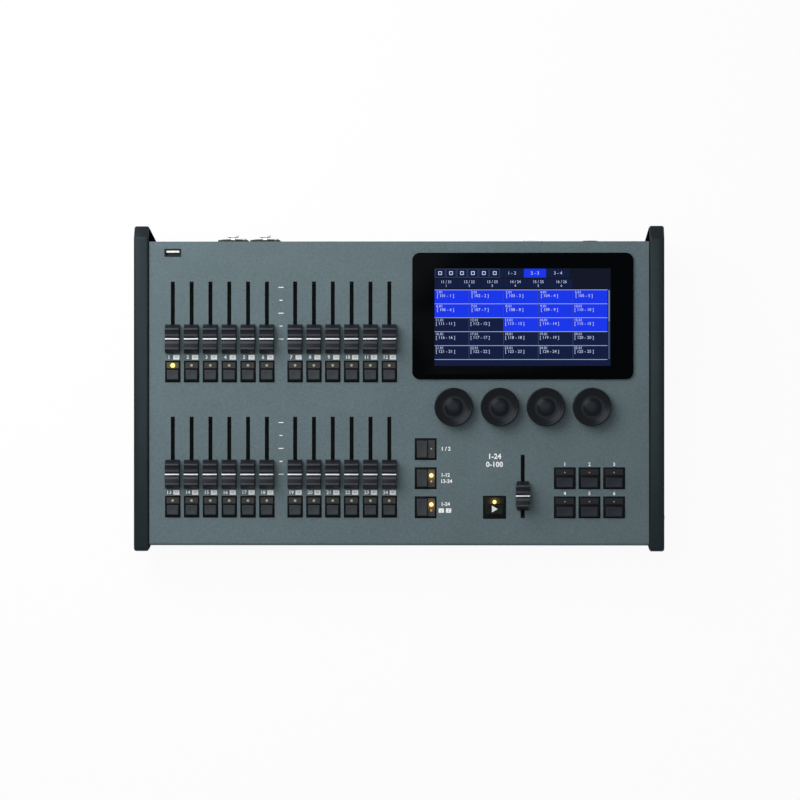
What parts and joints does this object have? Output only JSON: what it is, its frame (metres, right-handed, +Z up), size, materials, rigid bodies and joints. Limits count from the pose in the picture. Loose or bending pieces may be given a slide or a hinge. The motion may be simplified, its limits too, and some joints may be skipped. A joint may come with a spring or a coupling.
{
  "type": "lighting control desk",
  "caption": "Wedge-shaped stage lighting desk with rows of sliding faders and flash keys, a touch screen, rotary encoders, a master fader and rear data sockets.",
  "frame": {"origin": "centre of the underside, level with the bottom of the foot strips", "axes": "+X to the operator's right along the desk, +Y from the operator to the rear sockets, +Z up"},
  "size_m": [0.4616, 0.2822, 0.0832],
  "materials": {
    "panel_paint": "fine textured paint",
    "case_paint": "fine textured paint",
    "cheek_plastic": "fine moulded texture",
    "cap_plastic": "satin moulding",
    "key_plastic": "satin moulding",
    "glass": "black bordered touch glass",
    "display": "display module",
    "board": "circuit board",
    "socket_black": "moulded connector",
    "socket_metal": "plated shell",
    "rubber": "foot strip"
  },
  "bodies": {
    "desk": {"top_panel": "panel_paint", "base_pan": "case_paint", "rear_panel": "case_paint", "left_cheek": "cheek_plastic", "right_cheek": "cheek_plastic", "touchscreen_glass": "glass", "display_module": "display", "fader_board": "board", "command_board": "board", "main_board": "board", "dmx_socket_1": "socket_black", "dmx_socket_2": "socket_black", "usb_socket": "socket_metal", "network_socket": "socket_metal", "power_inlet": "socket_black", "front_foot_strip": "rubber", "rear_foot_strip": "rubber"},
    "master_fader": {"master_fader": "cap_plastic"},
    "encoder_1": {"encoder_1": "cap_plastic"},
    "encoder_2": {"encoder_2": "cap_plastic"},
    "encoder_3": {"encoder_3": "cap_plastic"},
    "encoder_4": {"encoder_4": "cap_plastic"},
    "go_key": {"go_key": "key_plastic"},
    "mode_key_1": {"mode_key_1": "key_plastic"},
    "mode_key_2": {"mode_key_2": "key_plastic"},
    "mode_key_3": {"mode_key_3": "key_plastic"},
    "command_key_1": {"command_key_1": "key_plastic"},
    "command_key_2": {"command_key_2": "key_plastic"},
    "command_key_3": {"command_key_3": "key_plastic"},
    "command_key_4": {"command_key_4": "key_plastic"},
    "command_key_5": {"command_key_5": "key_plastic"},
    "command_key_6": {"command_key_6": "key_plastic"},
    "flash_keys_01_06": {"flash_keys_01_06": "key_plastic"},
    "flash_keys_07_12": {"flash_keys_07_12": "key_plastic"},
    "flash_keys_13_18": {"flash_keys_13_18": "key_plastic"},
    "flash_keys_19_24": {"flash_keys_19_24": "key_plastic"},
    "fader_01": {"fader_01": "cap_plastic"},
    "fader_02": {"fader_02": "cap_plastic"},
    "fader_03": {"fader_03": "cap_plastic"},
    "fader_04": {"fader_04": "cap_plastic"},
    "fader_05": {"fader_05": "cap_plastic"},
    "fader_06": {"fader_06": "cap_plastic"},
    "fader_07": {"fader_07": "cap_plastic"},
    "fader_08": {"fader_08": "cap_plastic"},
    "fader_09": {"fader_09": "cap_plastic"},
    "fader_10": {"fader_10": "cap_plastic"},
    "fader_11": {"fader_11": "cap_plastic"},
    "fader_12": {"fader_12": "cap_plastic"},
    "fader_13": {"fader_13": "cap_plastic"},
    "fader_14": {"fader_14": "cap_plastic"},
    "fader_15": {"fader_15": "cap_plastic"},
    "fader_16": {"fader_16": "cap_plastic"},
    "fader_17": {"fader_17": "cap_plastic"},
    "fader_18": {"fader_18": "cap_plastic"},
    "fader_19": {"fader_19": "cap_plastic"},
    "fader_20": {"fader_20": "cap_plastic"},
    "fader_21": {"fader_21": "cap_plastic"},
    "fader_22": {"fader_22": "cap_plastic"},
    "fader_23": {"fader_23": "cap_plastic"},
    "fader_24": {"fader_24": "cap_plastic"}
  },
  "joints": [
    {"name": "master_fader_slide", "type": "slide", "parent": "desk", "child": "master_fader", "axis": [0, 0.9914, 0.1305], "range_m": [-0.0144, 0.0306]},
    {"name": "encoder_1_turn", "type": "hinge", "parent": "desk", "child": "encoder_1", "pos_m": [0.0478, -0.016, 0.06174], "axis": [0, -0.1305, 0.9914], "continuous": true},
    {"name": "encoder_2_turn", "type": "hinge", "parent": "desk", "child": "encoder_2", "pos_m": [0.0878, -0.016, 0.06174], "axis": [0, -0.1305, 0.9914], "continuous": true},
    {"name": "encoder_3_turn", "type": "hinge", "parent": "desk", "child": "encoder_3", "pos_m": [0.1278, -0.016, 0.06174], "axis": [0, -0.1305, 0.9914], "continuous": true},
    {"name": "encoder_4_turn", "type": "hinge", "parent": "desk", "child": "encoder_4", "pos_m": [0.1678, -0.016, 0.06174], "axis": [0, -0.1305, 0.9914], "continuous": true},
    {"name": "go_key_press", "type": "slide", "parent": "desk", "child": "go_key", "axis": [0, 0.1305, -0.9914], "range_m": [0, 0.0015], "stiffness_N_per_m": 500, "springref_m": -0.001},
    {"name": "mode_key_1_press", "type": "slide", "parent": "desk", "child": "mode_key_1", "axis": [0, 0.1305, -0.9914], "range_m": [0, 0.0015], "stiffness_N_per_m": 500, "springref_m": -0.001},
    {"name": "mode_key_2_press", "type": "slide", "parent": "desk", "child": "mode_key_2", "axis": [0, 0.1305, -0.9914], "range_m": [0, 0.0015], "stiffness_N_per_m": 500, "springref_m": -0.001},
    {"name": "mode_key_3_press", "type": "slide", "parent": "desk", "child": "mode_key_3", "axis": [0, 0.1305, -0.9914], "range_m": [0, 0.0015], "stiffness_N_per_m": 500, "springref_m": -0.001},
    {"name": "command_key_1_press", "type": "slide", "parent": "desk", "child": "command_key_1", "axis": [0, 0.1305, -0.9914], "range_m": [0, 0.0015], "stiffness_N_per_m": 500, "springref_m": -0.001},
    {"name": "command_key_2_press", "type": "slide", "parent": "desk", "child": "command_key_2", "axis": [0, 0.1305, -0.9914], "range_m": [0, 0.0015], "stiffness_N_per_m": 500, "springref_m": -0.001},
    {"name": "command_key_3_press", "type": "slide", "parent": "desk", "child": "command_key_3", "axis": [0, 0.1305, -0.9914], "range_m": [0, 0.0015], "stiffness_N_per_m": 500, "springref_m": -0.001},
    {"name": "command_key_4_press", "type": "slide", "parent": "desk", "child": "command_key_4", "axis": [0, 0.1305, -0.9914], "range_m": [0, 0.0015], "stiffness_N_per_m": 500, "springref_m": -0.001},
    {"name": "command_key_5_press", "type": "slide", "parent": "desk", "child": "command_key_5", "axis": [0, 0.1305, -0.9914], "range_m": [0, 0.0015], "stiffness_N_per_m": 500, "springref_m": -0.001},
    {"name": "command_key_6_press", "type": "slide", "parent": "desk", "child": "command_key_6", "axis": [0, 0.1305, -0.9914], "range_m": [0, 0.0015], "stiffness_N_per_m": 500, "springref_m": -0.001},
    {"name": "flash_keys_01_06_press", "type": "slide", "parent": "desk", "child": "flash_keys_01_06", "axis": [0, 0.1305, -0.9914], "range_m": [0, 0.0015], "stiffness_N_per_m": 500, "springref_m": -0.001},
    {"name": "flash_keys_07_12_press", "type": "slide", "parent": "desk", "child": "flash_keys_07_12", "axis": [0, 0.1305, -0.9914], "range_m": [0, 0.0015], "stiffness_N_per_m": 500, "springref_m": -0.001},
    {"name": "flash_keys_13_18_press", "type": "slide", "parent": "desk", "child": "flash_keys_13_18", "axis": [0, 0.1305, -0.9914], "range_m": [0, 0.0015], "stiffness_N_per_m": 500, "springref_m": -0.001},
    {"name": "flash_keys_19_24_press", "type": "slide", "parent": "desk", "child": "flash_keys_19_24", "axis": [0, 0.1305, -0.9914], "range_m": [0, 0.0015], "stiffness_N_per_m": 500, "springref_m": -0.001},
    {"name": "fader_01_slide", "type": "slide", "parent": "desk", "child": "fader_01", "axis": [0, 0.9914, 0.1305], "range_m": [0, 0.045]},
    {"name": "fader_02_slide", "type": "slide", "parent": "desk", "child": "fader_02", "axis": [0, 0.9914, 0.1305], "range_m": [0, 0.045]},
    {"name": "fader_03_slide", "type": "slide", "parent": "desk", "child": "fader_03", "axis": [0, 0.9914, 0.1305], "range_m": [0, 0.045]},
    {"name": "fader_04_slide", "type": "slide", "parent": "desk", "child": "fader_04", "axis": [0, 0.9914, 0.1305], "range_m": [0, 0.045]},
    {"name": "fader_05_slide", "type": "slide", "parent": "desk", "child": "fader_05", "axis": [0, 0.9914, 0.1305], "range_m": [0, 0.045]},
    {"name": "fader_06_slide", "type": "slide", "parent": "desk", "child": "fader_06", "axis": [0, 0.9914, 0.1305], "range_m": [0, 0.045]},
    {"name": "fader_07_slide", "type": "slide", "parent": "desk", "child": "fader_07", "axis": [0, 0.9914, 0.1305], "range_m": [0, 0.045]},
    {"name": "fader_08_slide", "type": "slide", "parent": "desk", "child": "fader_08", "axis": [0, 0.9914, 0.1305], "range_m": [0, 0.045]},
    {"name": "fader_09_slide", "type": "slide", "parent": "desk", "child": "fader_09", "axis": [0, 0.9914, 0.1305], "range_m": [0, 0.045]},
    {"name": "fader_10_slide", "type": "slide", "parent": "desk", "child": "fader_10", "axis": [0, 0.9914, 0.1305], "range_m": [0, 0.045]},
    {"name": "fader_11_slide", "type": "slide", "parent": "desk", "child": "fader_11", "axis": [0, 0.9914, 0.1305], "range_m": [0, 0.045]},
    {"name": "fader_12_slide", "type": "slide", "parent": "desk", "child": "fader_12", "axis": [0, 0.9914, 0.1305], "range_m": [0, 0.045]},
    {"name": "fader_13_slide", "type": "slide", "parent": "desk", "child": "fader_13", "axis": [0, 0.9914, 0.1305], "range_m": [0, 0.045]},
    {"name": "fader_14_slide", "type": "slide", "parent": "desk", "child": "fader_14", "axis": [0, 0.9914, 0.1305], "range_m": [0, 0.045]},
    {"name": "fader_15_slide", "type": "slide", "parent": "desk", "child": "fader_15", "axis": [0, 0.9914, 0.1305], "range_m": [0, 0.045]},
    {"name": "fader_16_slide", "type": "slide", "parent": "desk", "child": "fader_16", "axis": [0, 0.9914, 0.1305], "range_m": [0, 0.045]},
    {"name": "fader_17_slide", "type": "slide", "parent": "desk", "child": "fader_17", "axis": [0, 0.9914, 0.1305], "range_m": [0, 0.045]},
    {"name": "fader_18_slide", "type": "slide", "parent": "desk", "child": "fader_18", "axis": [0, 0.9914, 0.1305], "range_m": [0, 0.045]},
    {"name": "fader_19_slide", "type": "slide", "parent": "desk", "child": "fader_19", "axis": [0, 0.9914, 0.1305], "range_m": [0, 0.045]},
    {"name": "fader_20_slide", "type": "slide", "parent": "desk", "child": "fader_20", "axis": [0, 0.9914, 0.1305], "range_m": [0, 0.045]},
    {"name": "fader_21_slide", "type": "slide", "parent": "desk", "child": "fader_21", "axis": [0, 0.9914, 0.1305], "range_m": [0, 0.045]},
    {"name": "fader_22_slide", "type": "slide", "parent": "desk", "child": "fader_22", "axis": [0, 0.9914, 0.1305], "range_m": [0, 0.045]},
    {"name": "fader_23_slide", "type": "slide", "parent": "desk", "child": "fader_23", "axis": [0, 0.9914, 0.1305], "range_m": [0, 0.045]},
    {"name": "fader_24_slide", "type": "slide", "parent": "desk", "child": "fader_24", "axis": [0, 0.9914, 0.1305], "range_m": [0, 0.045]}
  ]
}
